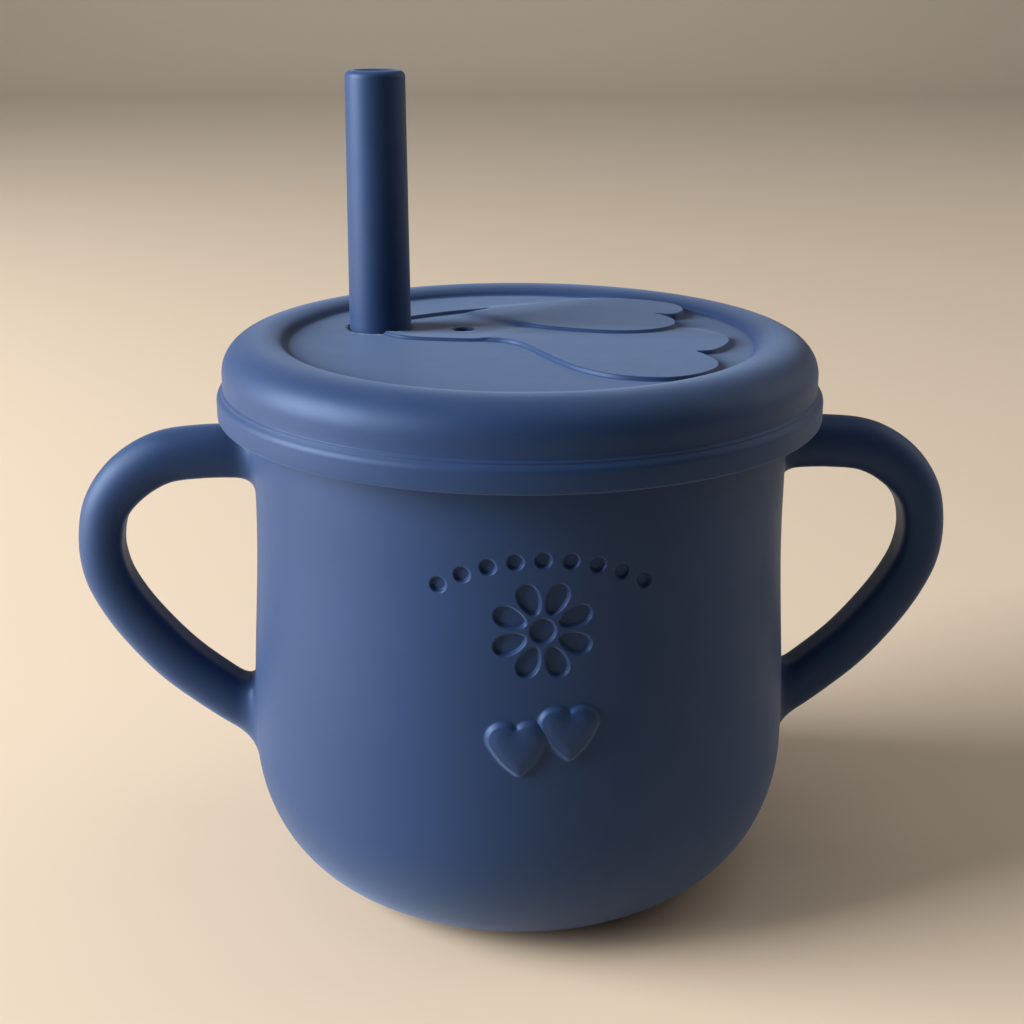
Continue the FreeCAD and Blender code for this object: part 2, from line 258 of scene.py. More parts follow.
# ---- raised and sunk marks --------------------------------------------
class Mark:
    """A flat outline that stands rise above the surface, with an edge this wide.

    crown is how much more it swells in its middle. soft is (direction, how far along it
    the edge starts to widen and the top to sink, where that ends, the width and rise there).
    """

    def __init__(self, outline, rise, edge, crown=0.0, crown_width=1.0, soft=None):
        self.outline = resampled(np.vstack([outline, outline[:1]]), 0.3)
        self.rise, self.edge = rise, edge
        self.crown, self.crown_width = crown, crown_width
        self.soft = soft

    def cover(self, points):
        """Signed distances and how far each point is up the edge, 0 to 1."""
        gap = signed_distance(points, self.outline)
        edge = self.edge
        if self.soft:
            edge = edge + (self.soft[3] - edge) * self.softness(points)
        return gap, smooth_step(0.5 - gap / edge)

    def softness(self, points):
        direction, start, end = self.soft[:3]
        return smooth_step((points @ direction - start) / (end - start))

    def level(self, points, gap):
        level = self.rise + self.crown * smooth_step(-gap / self.crown_width)
        if self.soft:
            level = level + (self.soft[4] - self.rise) * self.softness(points)
        return level

    def edge_points(self):
        """Points in rows beside the outline, close enough to carry its edge and its crown.

        Points that come closer to another stretch of the outline are left out.
        """
        normal = normals(self.outline)
        rows = []
        for share in (-0.75, -0.5, -0.32, -0.16, 0.0, 0.16, 0.32, 0.5, 0.75):
            row = self.outline + normal * share * self.edge
            gap = np.abs(signed_distance(row, self.outline))
            rows.append(row[np.abs(gap - abs(share) * self.edge) < 0.02])
        if self.crown:
            probe = self.outline[:1] + 0.05 * normal[:1]
            inward = normal if inside(probe, self.outline)[0] else -normal
            for share in (0.3, 0.7):
                row = self.outline + inward * share * self.crown_width
                depth = -signed_distance(row, self.outline)
                rows.append(row[np.abs(depth - share * self.crown_width) < 0.05])
        return np.vstack(rows)


class Wedge(Mark):
    """A mark that slopes from one level along its front line down to another along its rear line."""

    def __init__(self, outline, front, front_rise, rear, rear_rise, edge):
        super().__init__(outline, front_rise, edge)
        self.front, self.rear, self.rear_rise = front, rear, rear_rise

    def level(self, points, gap):
        a, b = distance(points, self.front), distance(points, self.rear)
        return self.rise + (self.rear_rise - self.rise) * a / (a + b)


def relief(marks, points):
    """The marks' joint height: raised ones merge into each other, sunk ones add up."""
    high = np.zeros(len(points))
    low = np.zeros(len(points))
    for mark in marks:
        gap, share = mark.cover(points)
        height = share * mark.level(points, gap)
        high = np.maximum(high, height)
        low = np.minimum(low, height)
    return high + low


def layered(marks, points):
    """The marks' height when each one lies over those before it."""
    height = np.zeros(len(points))
    for mark in marks:
        gap, share = mark.cover(points)
        height = height * (1 - share) + mark.level(points, gap) * share
    return height


def heart(lobe, spread, reach, tip_round):
    """A heart with a rounded tip at the origin, full sides and its lobes towards +Y."""
    far = math.hypot(spread, reach)
    side = math.atan2(reach, spread) - math.asin(lobe / far)
    notch = math.atan2(math.sqrt(lobe ** 2 - spread ** 2), -spread)
    sweep = np.linspace(side - math.pi / 2, notch, 28)
    right = np.array([spread, reach]) + lobe * np.stack([np.cos(sweep), np.sin(sweep)], axis=1)
    start = tip_round * (1 / math.sin(math.pi / 2 - side) - math.sin(math.pi / 2 - side))
    foot = np.array([tip_round * math.sin(side), start])
    share = np.linspace(0, 1, 12)[1:-1, None]
    full = 0.045 * far * np.sin(math.pi * share) * [math.sin(side), -math.cos(side)]
    right = np.vstack([foot + (right[0] - foot) * share + full, right])
    left = right[::-1] * [-1, 1]
    half = math.pi / 2 - side
    sweep = np.linspace(math.pi + half, 2 * math.pi - half, 9)
    tip = tip_round * np.stack([np.cos(sweep), np.sin(sweep)], axis=1) + [0.0, tip_round / math.sin(half)]
    return np.vstack([tip, right, left[1:]])


# ---- flat maps --------------------------------------------------------
class Map:
    """Flat points and faces, joined from grids and refilled windows, that a shape then bends."""

    def __init__(self):
        self.points = []
        self.faces = []

    def add(self, points):
        first = len(self.points)
        self.points.extend(np.asarray(points, float).tolist())
        return list(range(first, len(self.points)))

    def grid(self, across, along, windows=()):
        """A grid with the cells of each window left out. A window is (left, right, bottom, top) in cells."""
        wide = len(across)
        ids = self.add([(u, s) for s in along for u in across])
        rows = [ids[k * wide:(k + 1) * wide] for k in range(len(along))]
        for j in range(len(along) - 1):
            for i in range(wide - 1):
                if not any(l <= i < r and b <= j < t for l, r, b, t in windows):
                    self.faces.append((rows[j][i], rows[j][i + 1], rows[j + 1][i + 1], rows[j + 1][i]))
        return rows

    def fill(self, rim, holes, points):
        """Triangles between a rim and its holes, through more points. Rim and holes are lists of indices."""
        known = [*rim, *(i for hole in holes for i in hole)]
        known += self.add(points)
        sides, first = [], 0
        for loop in (rim, *holes):
            count = len(loop)
            sides += [(first + k, first + (k + 1) % count) for k in range(count)]
            first += count
        flat = [Vector(self.points[i]) for i in known]
        made = delaunay_2d_cdt(flat, sides, [], 0, 1e-7, True)
        source = [known[ids[0]] for ids in made[3]]
        faces = [tuple(source[k] for k in face) for face in made[2]]
        corners = np.array(self.points)
        middles = np.array([corners[list(f)].mean(0) for f in faces])
        keep = inside(middles, corners[rim])
        for hole in holes:
            keep &= ~inside(middles, corners[hole])
        self.faces += [f for f, wanted in zip(faces, keep) if wanted]


def rim_of(rows, window):
    """The grid points round a window, in order."""
    left, right, bottom, top = window
    loop = [rows[bottom][i] for i in range(left, right)]
    loop += [rows[j][right] for j in range(bottom, top)]
    loop += [rows[top][i] for i in range(right, left, -1)]
    loop += [rows[j][left] for j in range(top, bottom, -1)]
    return loop


def spaced(points, loops, margin):
    """The points that are at least margin from every loop's sides."""
    keep = np.ones(len(points), bool)
    for loop in loops:
        keep &= np.abs(signed_distance(points, loop)) > margin
    return points[keep]


def thinned(points, cell):
    """One point in each small cell, so that none lie on each other."""
    _, first = np.unique(np.round(points / cell).astype(int), axis=0, return_index=True)
    return points[np.sort(first)]


def detailed(marks, field, loops, margin):
    """Points for a window that holds marks: rows beside each outline, and the field's points elsewhere."""
    rows = thinned(np.vstack([mark.edge_points() for mark in marks]), 0.05)
    near = np.min([np.abs(signed_distance(field, mark.outline)) - mark.edge for mark in marks], axis=0)
    return spaced(np.vstack([rows, field[near > 0.15]]), loops, margin)


def lattice(low, high, step):
    """A triangular lattice over a box."""
    rows = []
    for k, y in enumerate(np.arange(low[1], high[1], step * 0.866)):
        x = np.arange(low[0] + (k % 2) * step / 2, high[0], step)
        rows.append(np.stack([x, np.full(len(x), y)], axis=1))
    return np.vstack(rows)


class Shell:
    """The points and faces of one closed piece, joined from bent maps and from rings."""

    def __init__(self):
        self.points = []
        self.faces = []

    def add(self, points):
        first = len(self.points)
        self.points.extend(points)
        return list(range(first, len(self.points)))

    def add_map(self, flat, points):
        """A map's faces with its points at these places. Gives back the shell's index of its first point."""
        first = self.add(points)[0]
        self.faces += [tuple(i + first for i in face) for face in flat.faces]
        return first

    def tube(self, first_ring, rows, last_ring):
        """Quads from a ring that exists, through rows of new points, to another ring that exists."""
        rings = [first_ring, *(self.add(row) for row in rows), last_ring]
        for a, b in zip(rings, rings[1:]):
            for k in range(len(a)):
                n = (k + 1) % len(a)
                self.faces.append((a[k], a[n], b[n], b[k]))


def make_piece(name, shell, node, body, material):
    """A shell's mesh, in metres, that stands for a CAD node."""
    mesh = bpy.data.meshes.new(name)
    piece = bpy.data.objects.new(name, mesh)
    bpy.context.scene.collection.objects.link(piece)
    bm = bmesh.new()
    verts = [bm.verts.new(p) for p in np.asarray(shell.points) * MM]
    for face in shell.faces:
        bm.faces.new([verts[i] for i in face])
    bmesh.ops.remove_doubles(bm, verts=bm.verts, dist=1e-7)
    loose = [v for v in bm.verts if not v.link_faces]
    bmesh.ops.delete(bm, geom=loose, context="VERTS")
    bmesh.ops.recalc_face_normals(bm, faces=bm.faces)
    open_edges = sum(1 for e in bm.edges if len(e.link_faces) != 2)
    if bm.calc_volume(signed=True) < 0:
        bmesh.ops.reverse_faces(bm, faces=bm.faces)
    print(name, len(bm.faces), "faces", open_edges, "open edges", round(bm.calc_volume() * 1e6, 2), "cm3")
    bm.to_mesh(mesh)
    bm.free()
    mesh.shade_smooth()
    mesh.materials.append(material)
    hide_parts(node)
    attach(piece, body)


# ---- the cup's wall ----------------------------------------------------
def wall_radius(height):
    """The cup's outside radius above its widest place."""
    share = np.clip((height - BELLY_HEIGHT) / (NECK_HEIGHT - BELLY_HEIGHT), 0, 1)
    return NECK_RADIUS + (BELLY_RADIUS - NECK_RADIUS) * (1 + np.cos(math.pi * share)) / 2


def bottom_arc(inset, count):
    """The round bottom from the foot to the widest place, moved in by inset."""
    a = np.linspace(math.pi / 2, 0, count)
    across = BELLY_RADIUS - FOOT_RADIUS - inset
    up = BELLY_HEIGHT - inset
    power = 2 / BOTTOM_POWER
    return np.stack([
        FOOT_RADIUS + across * np.cos(a).clip(0) ** power,
        BELLY_HEIGHT - up * np.sin(a).clip(0) ** power,
    ], axis=1)


def outer_profile():
    """The cup's outside from the middle of the foot to the inside edge of its rim."""
    heights = np.arange(BELLY_HEIGHT + 1, BEAD_BOTTOM - 2.2, 1.0)
    wall = np.stack([wall_radius(heights), heights], axis=1)
    bead = rounded([
        (NECK_RADIUS, BEAD_BOTTOM - 2.0),
        (BEAD_RADIUS, BEAD_BOTTOM, 0.6),
        (BEAD_RADIUS, RIM_HEIGHT, 1.0),
        (NECK_RADIUS - WALL, RIM_HEIGHT, 1.0),
        (NECK_RADIUS - WALL, RIM_HEIGHT - 4.0),
    ])
    foot = divided(np.array([[0.0, 0.0], [FOOT_RADIUS, 0.0]]), 2.0)
    return divided(np.vstack([foot[:-1], bottom_arc(0, 34), wall, bead]), 1.0)


def inner_profile():
    """The cup's inside from below its rim down to the middle of its floor."""
    heights = np.arange(RIM_HEIGHT - 4.0, BELLY_HEIGHT, -2.0)
    wall = np.stack([wall_radius(heights) - WALL, heights], axis=1)
    floor = divided(np.array([[FOOT_RADIUS, WALL], [0.0, WALL]]), 2.5)
    return np.vstack([wall, bottom_arc(WALL, 22)[::-1], floor[1:]])


class Turned:
    """Bends a flat map round the Z axis: across is an angle times FLAT_RADIUS, along follows a profile."""

    def __init__(self, profile):
        self.profile = profile
        self.along = lengths(profile)

    def at(self, flat, out=0.0):
        flat = np.asarray(flat, float)
        angle = flat[:, 0] / FLAT_RADIUS
        radius = np.interp(flat[:, 1], self.along, self.profile[:, 0])
        height = np.interp(flat[:, 1], self.along, self.profile[:, 1])
        slope = np.stack([
            np.interp(flat[:, 1] + 0.3, self.along, self.profile[:, k])
            - np.interp(flat[:, 1] - 0.3, self.along, self.profile[:, k])
            for k in range(2)
        ], axis=1)
        slope /= np.linalg.norm(slope, axis=1)[:, None]
        radius = radius + out * slope[:, 1]
        height = height - out * slope[:, 0]
        return np.stack([radius * np.cos(angle), radius * np.sin(angle), height], axis=1)

    def along_at(self, height):
        """How far along the outside the wall reaches a height, above the foot."""
        top = int(np.argmax(self.profile[:, 1]))
        return np.interp(height, self.profile[:top, 1], self.along[:top])


# ---- handles ----------------------------------------------------------
class Grip:
    """The right handle. The left one is its mirror image."""

    def __init__(self):
        self.line = spline(GRIP_LINE, 420)
        forward = np.gradient(self.line[:, :2], axis=0)
        forward /= np.linalg.norm(forward, axis=1)[:, None]
        self.out = np.stack([-forward[:, 1], forward[:, 0]], axis=1)
        self.along = lengths(self.line[:, :2])

    def distance(self, points):
        """Signed distance from a handle, at points in the row frame."""
        flat = np.stack([np.abs(points[:, 0]), points[:, 2]], axis=1)
        found = np.empty((len(flat), 2))
        for start in range(0, len(flat), 2000):
            gap = flat[start:start + 2000, None, :] - self.line[None, :, :2]
            near = (gap * gap).sum(2).argmin(1)
            rows = np.arange(len(near))
            found[start:start + 2000, 0] = (gap[rows, near] * self.out[near]).sum(1)
            found[start:start + 2000, 1] = self.line[near, 2]
        return self.section_distance(found[:, 0], points[:, 1], found[:, 1])

    def section_distance(self, out, sideways, half):
        """Signed distance from the cross-section: a round with its inner side cut flat."""
        x, y = (out + GRIP_LEAN) / (half + GRIP_LEAN), sideways / GRIP_HALF_WIDTH
        level = np.hypot(x, y).clip(1e-6)
        slope = np.hypot(x / (half + GRIP_LEAN), y / GRIP_HALF_WIDTH) / level
        round_part = (level - 1) / slope.clip(1e-6) + GRIP_EDGE_ROUND
        flat_part = -out - half + GRIP_EDGE_ROUND
        both = np.hypot(round_part.clip(0), flat_part.clip(0))
        return both + np.minimum(np.maximum(round_part, flat_part), 0) - GRIP_EDGE_ROUND

    def section(self, half, count):
        """The handle's cross-section, (outward, sideways), as evenly spaced points."""
        a = np.linspace(0, -2 * math.pi, 721)
        near, far = np.zeros(len(a)), np.full(len(a), 9.0)
        for _ in range(40):
            middle = (near + far) / 2
            within = self.section_distance(middle * np.cos(a), middle * np.sin(a), half) < 0
            near, far = np.where(within, middle, near), np.where(within, far, middle)
        loop = near[:, None] * np.stack([np.cos(a), np.sin(a)], axis=1)
        along = lengths(loop)
        wanted = np.arange(count) * along[-1] / count
        return np.stack([np.interp(wanted, along, loop[:, k]) for k in range(2)], axis=1)

    def at(self, along, which, count):
        """Points of the handle's skin, each at a distance along it and at one of count places round it."""
        def sample(table):
            return np.stack([np.interp(along, self.along, column) for column in table.T], axis=1)

        line, out = sample(self.line), sample(self.out)
        centre, half = line[:, :2], line[:, 2]
        thin, thick = (self.section(size, count)[which] for size in GRIP_SECTIONS)
        share = ((half - GRIP_SECTIONS[0]) / (GRIP_SECTIONS[1] - GRIP_SECTIONS[0]))[:, None]
        section = thin * (1 - share) + thick * share
        place = centre + out * section[:, :1]
        return np.stack([place[:, 0], section[:, 1], place[:, 1]], axis=1)


def cup_distance(points):
    """Signed distance from the cup's outer wall, good near it."""
    radius = np.hypot(points[:, 0], points[:, 1])
    height = points[:, 2]
    x = (radius - FOOT_RADIUS).clip(0) / (BELLY_RADIUS - FOOT_RADIUS)
    y = ((BELLY_HEIGHT - height) / BELLY_HEIGHT).clip(0)
    level = (x ** BOTTOM_POWER + y ** BOTTOM_POWER).clip(1e-9)
    gx = BOTTOM_POWER * x ** (BOTTOM_POWER - 1) / (BELLY_RADIUS - FOOT_RADIUS)
    gy = BOTTOM_POWER * y ** (BOTTOM_POWER - 1) / BELLY_HEIGHT
    below = (level - 1) / np.hypot(gx, gy).clip(1e-6)
    return np.where(height < BELLY_HEIGHT, below, radius - wall_radius(height))


def melted(points, grip):
    """The cup and its handles as one soft shape: negative inside, zero on the skin."""
    a, b = cup_distance(points), grip.distance(points)
    mix = (GRIP_BLEND - np.abs(a - b)).clip(0) / GRIP_BLEND
    return np.minimum(a, b) - mix * mix * GRIP_BLEND / 4


def onto_skin(points, grip):
    """Moves points to the soft shape's skin."""
    moved = points.copy()
    small = 0.02
    for _ in range(6):
        value = melted(moved, grip)
        slope = np.stack([
            (melted(moved + step, grip) - melted(moved - step, grip)) / (2 * small)
            for step in np.eye(3) * small
        ], axis=1)
        moved -= (value / (slope * slope).sum(1).clip(0.2))[:, None] * slope
    return moved


class Root:
    """Where one end of the right handle meets the wall, and the skin between them."""

    def __init__(self, grip, shape, lower, on_wall, on_grip, rows):
        count = GRIP_COLUMNS
        which = np.arange(count)
        samples = np.linspace(0, 0.5, 260) * grip.along[-1]
        if lower:
            samples = grip.along[-1] - samples
        inside_wall = np.stack([
            cup_distance(grip.at(np.full(count, s), which, count)) for s in samples
        ])
        crossing = (inside_wall > 0).argmax(0)
        before = inside_wall[crossing - 1, which]
        after = inside_wall[crossing, which]
        share = before / (before - after)
        meets = samples[crossing - 1] + share * (samples[crossing] - samples[crossing - 1])
        reach = -on_grip if lower else on_grip
        crease = grip.at(meets, which, count)
        flat = np.stack([
            np.arctan2(crease[:, 1], crease[:, 0]) * FLAT_RADIUS, shape.along_at(crease[:, 2]),
        ], axis=1)
        normal = normals(flat)
        if inside(flat[:1] + 0.1 * normal[:1], flat)[0]:
            normal = -normal
        self.flat_loop = flat + normal * on_wall
        shares = np.linspace(0, 1, rows + 1)
        wall_rows = [shape.at(flat + normal * on_wall * share) for share in shares[::-1]]
        grip_rows = [grip.at(meets + reach * share, which, count) for share in shares[1:]]
        self.rows = [wall_rows[0]] + [onto_skin(r, grip) for r in wall_rows[1:] + grip_rows]
        self.end = meets + reach


# ---- the front's marks -------------------------------------------------
def petal(length, width, count=40):
    """A rounded petal along +Y from near the origin, widest towards its end."""
    a = np.arange(count) * 2 * math.pi / count
    return np.stack([
        width / 2 * np.sin(a) * (1 - 0.22 * np.cos(a)), length / 2 * (1 - np.cos(a)),
    ], axis=1)


def front_marks(shape):
    """Two raised hearts under a sunk daisy and an arc of sunk dots, on the flat map."""
    centre = -math.pi / 2 * FLAT_RADIUS
    marks = []
    for across, height, lean in FRONT_HEARTS:
        outline = turned(heart(2.05, 1.6, 5.4, 0.7), lean, (centre + across, shape.along_at(height)))
        marks.append(Mark(outline, 0.6, 0.75, crown=0.3, crown_width=1.6))
    daisy = np.array([centre, shape.along_at(DAISY_HEIGHT)])
    sunk = [
        turned(petal(4.1, 2.55) + [0.0, 2.3], (k + 0.5) * 360 / PETALS, daisy) for k in range(PETALS)
    ]
    sunk.append(circle(daisy, 1.55, 40))
    for k in range(DOTS):
        a = math.radians(DOT_STEP * (k - (DOTS - 1) / 2))
        height = DOT_ARC_HEIGHT + DOT_ARC_RADIUS * math.cos(a)
        sunk.append(circle((centre + DOT_ARC_RADIUS * math.sin(a), shape.along_at(height)), 0.95, 24))
    return marks + [Mark(outline, SINK, SINK_EDGE) for outline in sunk]


def window_of(across, along, outline, margin):
    """The cells (left, right, bottom, top) of a grid that hold an outline with a margin round it."""
    low, high = outline.min(0) - margin, outline.max(0) + margin
    return (
        int(np.searchsorted(across, low[0])) - 1, int(np.searchsorted(across, high[0])),
        int(np.searchsorted(along, low[1])) - 1, int(np.searchsorted(along, high[1])),
    )


def cup_skin(across, shape, root_loops, marks):
    """The outside's flat map, with a hole for each handle's root and fine points for the marks."""
    outlines = np.vstack([mark.outline for mark in marks])
    windows = [window_of(across, shape.along, loop, 0.7) for loop in root_loops]
    windows.append(window_of(across, shape.along, outlines, 1.2))
    skin = Map()
    rows = skin.grid(across, shape.along, windows)
    rims = [rim_of(rows, window) for window in windows]
    root_rings = []
    for loop, rim in zip(root_loops, rims):
        ring = skin.add(loop)
        rim_points = np.array([skin.points[i] for i in rim])
        extra = spaced(lattice(rim_points.min(0), rim_points.max(0), 1.0), [loop, rim_points], 0.5)
        skin.fill(rim, [ring], extra[inside(extra, rim_points) & ~inside(extra, loop)])
        root_rings.append(ring)
    rim_points = np.array([skin.points[i] for i in rims[-1]])
    field = lattice(rim_points.min(0), rim_points.max(0), 0.8)
    skin.fill(rims[-1], [], detailed(marks, field[inside(field, rim_points)], [rim_points], 0.4))

    flat = np.array(skin.points)
    out = np.zeros(len(flat))
    front = ((flat > outlines.min(0) - 1.0) & (flat < outlines.max(0) + 1.0)).all(1)
    out[front] = relief(marks, flat[front])
    return skin, shape.at(flat, out), root_rings


def build_cup(material):
    shape = Turned(outer_profile())
    seam = math.pi / 2 * FLAT_RADIUS
    across = np.linspace(seam - 2 * math.pi * FLAT_RADIUS, seam, COLUMNS + 1)
    grip = Grip()
    roots = [
        Root(grip, shape, lower=False, on_wall=3.1, on_grip=3.6, rows=9),
        Root(grip, shape, lower=True, on_wall=4.8, on_grip=6.5, rows=13),
    ]
    mirror_shift = [math.pi * FLAT_RADIUS, 0]
    root_loops = [loop for r in roots for loop in (r.flat_loop, r.flat_loop * [-1, 1] - mirror_shift)]
    skin, places, rings = cup_skin(across, shape, root_loops, front_marks(shape))

    shell = Shell()
    shell.add_map(skin, places)
    inner = Turned(inner_profile())
    inner_map = Map()
    inner_map.grid(across, inner.along)
    shell.add_map(inner_map, inner.at(inner_map.points))

    which = np.arange(GRIP_COLUMNS)
    middle = [
        grip.at(roots[0].end * (1 - share) + roots[1].end * share, which, GRIP_COLUMNS)
        for share in np.linspace(0, 1, 100)[1:-1]
    ]
    between = roots[0].rows[1:] + middle + roots[1].rows[:0:-1]
    for side, upper, lower in ((1, rings[0], rings[2]), (-1, rings[1], rings[3])):
        shell.tube(upper, [row * [side, 1, 1] for row in between], lower)
    make_piece("cup_moulding", shell, "cup_body", "cup", material)


# ---- the lid ----------------------------------------------------------
def lid_profile():
    """The lid's ring, from the edge of the sunk disc outwards and round to the disc's underside."""
    plug_out = NECK_RADIUS - WALL - LID_GAP
    under = DISC_HEIGHT - DISC_THICK
    shoulder = CREST_HEIGHT - SHOULDER_BOTTOM
    a = np.linspace(math.pi / 2, 0, 22)
    power = 2 / SHOULDER_POWER
    reach = SKIRT_RADIUS - CREST_RADIUS
    arc = [
        (CREST_RADIUS + reach * math.cos(t) ** power, SHOULDER_BOTTOM + shoulder * math.sin(t) ** power)
        for t in a.clip(1e-6, math.pi / 2 - 1e-6)
    ]
    side = rounded([
        arc[-1],
        (SKIRT_RADIUS, BAND_TOP + 0.95, 0.12),
        (LIP_RADIUS, BAND_TOP + 0.7, 0.1),
        (LIP_RADIUS, BAND_TOP + 0.48, 0.05),
        (BAND_RADIUS, BAND_TOP - 0.15, 1.2),
        (BAND_RADIUS, lid_low[2], 0.4),
        (BEAD_RADIUS + LID_GAP, lid_low[2], 0.3),
        (BEAD_RADIUS + LID_GAP, RIM_HEIGHT, 0.5),
        (plug_out, RIM_HEIGHT, 0.5),
        (plug_out, PLUG_BOTTOM, 0.5),
        (plug_out - PLUG_THICK, PLUG_BOTTOM, 0.5),
        (plug_out - PLUG_THICK, under, 0.8),
        (plug_out - PLUG_THICK - 1.5, under),
    ], facet=0.1, step=1.2)
    return np.vstack([rim_inside(), arc[1:-1], side])


def rim_inside():
    """From the sunk disc up a small fillet and round to the crest."""
    t = np.linspace(math.radians(12), math.pi / 2, 20)
    across, up = CREST_RADIUS - DISC_RADIUS, CREST_HEIGHT - DISC_HEIGHT
    turn = np.stack([DISC_RADIUS + across * (1 - np.cos(t)), DISC_HEIGHT + up * np.sin(t)], axis=1)
    return np.vstack([[[DISC_RADIUS - 0.45, DISC_HEIGHT], [DISC_RADIUS - 0.15, DISC_HEIGHT + 0.06]], turn])


def lid_marks():
    """The sloping pad beside the straw and the two hearts that spread from it, seen from above."""
    near = spline([(-19.6, 7.0), (-18.7, 4.8), (-16.6, 1.9), (-13.8, 0.5), (-8.4, -0.7), (-5.4, -0.9),
                   (-2.6, -0.2), (-0.5, 1.0)], 80)
    far = spline([(-3.2, 22.0), (-6.6, 21.2), (-10.3, 19.5), (-14.5, 17.0), (-16.9, 15.2), (-18.2, 12.4)], 60)
    pad = np.vstack([near[:-1], spline([(-0.5, 1.0), (5.0, 6.0), (2.0, 14.0), (-3.2, 22.0)], 80)[:-1], far])
    front = smooth_outline(
        [(-5.6, -0.2), (-4.2, -1.05), (-2.6, -1.75), (-1.0, -3.0), (0.4, -5.4), (1.9, -9.4), (4.0, -15.0),
         (6.2, -19.3), (9.4, -22.9), (13.0, -24.7), (17.0, -25.1), (20.9, -23.3), (23.6, -20.2),
         (24.4, -16.7), (23.6, -12.9), (22.7, -10.8)],
        [(22.7, -10.8), (25.0, -10.3), (27.1, -7.7), (28.5, -4.2), (28.4, -0.3), (26.3, 3.6), (22.5, 6.2),
         (16.0, 7.2), (9.0, 7.4), (2.0, 6.4), (-3.4, 2.6), (-5.6, -0.2)],
    )
    rear = smooth_outline(
        [(-6.2, 19.6), (-4.6, 16.2), (-1.9, 12.4), (0.5, 8.2), (3.3, 5.0), (7.4, 2.8), (11.3, 1.3),
         (15.4, 0.7), (19.2, 1.6), (22.1, 4.0), (23.0, 7.3), (22.3, 10.3), (21.1, 12.2)],
        [(21.1, 12.2), (23.5, 11.8), (25.3, 14.0), (25.6, 17.2), (24.2, 20.2), (21.0, 22.6), (16.6, 24.4),
         (10.6, 25.3), (4.0, 24.6), (-2.4, 22.6), (-6.2, 19.6)],
    )
    return [
        Wedge(pad, near, 0.45, far, -0.5, 0.45),
        Mark(front, 0.55, 0.38, soft=((0.0, 1.0), -2.0, 2.5, 4.0, 0.5)),
        Mark(rear, 0.95, 0.45, soft=((1.0, -0.6), 0.0, -15.0, 3.0, 0.3)),
    ]


class Disc(Map):
    """A flat disc with the straw's hole and the vent left open, filled with the points that fill makes."""

    def __init__(self, radius, straw_hole, fill):
        super().__init__()
        self.rim = self.add(circle((0, 0), radius, COLUMNS))
        self.straw_ring = self.add(circle(straw_at, straw_hole, HOLE_COLUMNS))
        self.vent_ring = self.add(circle(VENT_AT, VENT_RADIUS + VENT_SOFTEN, VENT_COLUMNS))
        corners = np.array(self.points)
        rim, *holes = corners[self.rim], corners[self.straw_ring], corners[self.vent_ring]
        inner = fill([rim, *holes])
        keep = inside(inner, rim)
        for hole in holes:
            keep &= ~inside(inner, hole)
        self.fill(self.rim, [self.straw_ring, self.vent_ring], inner[keep])


def disc_field(step):
    return lattice((-DISC_RADIUS, -DISC_RADIUS), (DISC_RADIUS, DISC_RADIUS), step)


def circles(centre, profile, count):
    """A circle for each (radius, height) of a profile, round an upright axis."""
    return [np.column_stack([circle(centre, radius, count), np.full(count, z)]) for radius, z in profile]


def build_lid(material):
    shape = Turned(lid_profile())
    shell = Shell()
    ring = Map()
    ring.grid(np.linspace(0, 2 * math.pi * FLAT_RADIUS, COLUMNS + 1), shape.along)
    shell.add_map(ring, shape.at(ring.points))

    hole = STRAW_RADIUS + STRAW_GAP
    marks = lid_marks()
    field = disc_field(0.9)
    field = field[np.hypot(*field.T) < DISC_RADIUS - 0.4]
    top = Disc(shape.profile[0, 0], hole + HOLE_SOFTEN, lambda loops: detailed(marks, field, loops, 0.25))
    flat = np.array(top.points)
    top_heights = DISC_HEIGHT + layered(marks, flat)
    first_top = shell.add_map(top, np.column_stack([flat, top_heights]))

    under = DISC_HEIGHT - DISC_THICK
    boss_rim = BOSS_RADIUS + 0.8
    base = Disc(shape.profile[-1, 0], boss_rim, lambda loops: spaced(disc_field(2.2), loops, 0.8))
    first_base = shell.add_map(base, np.column_stack([base.points, np.full(len(base.points), under)]))

    low_rim = top_heights[top.straw_ring].min()
    bore = rounded([
        (hole + HOLE_SOFTEN, low_rim), (hole, low_rim, 0.1), (hole, PLUG_BOTTOM, 0.3),
        (BOSS_RADIUS, PLUG_BOTTOM, 0.6), (BOSS_RADIUS, under, 0.7), (boss_rim, under),
    ], facet=0.1, step=1.5)
    vent_height = top_heights[top.vent_ring[0]]
    vent = rounded([
        (VENT_RADIUS + VENT_SOFTEN, vent_height), (VENT_RADIUS, vent_height, 0.28),
        (VENT_RADIUS, under, 0.28), (VENT_RADIUS + VENT_SOFTEN, under),
    ], facet=0.1, step=1.0)
    for centre, profile, upper, lower in (
        (straw_at, bore, top.straw_ring, base.straw_ring), (VENT_AT, vent, top.vent_ring, base.vent_ring),
    ):
        rows = circles(centre, profile[1:-1], len(upper))
        shell.tube([i + first_top for i in upper], rows, [i + first_base for i in lower])
    make_piece("lid_moulding", shell, "lid", "lid", material)


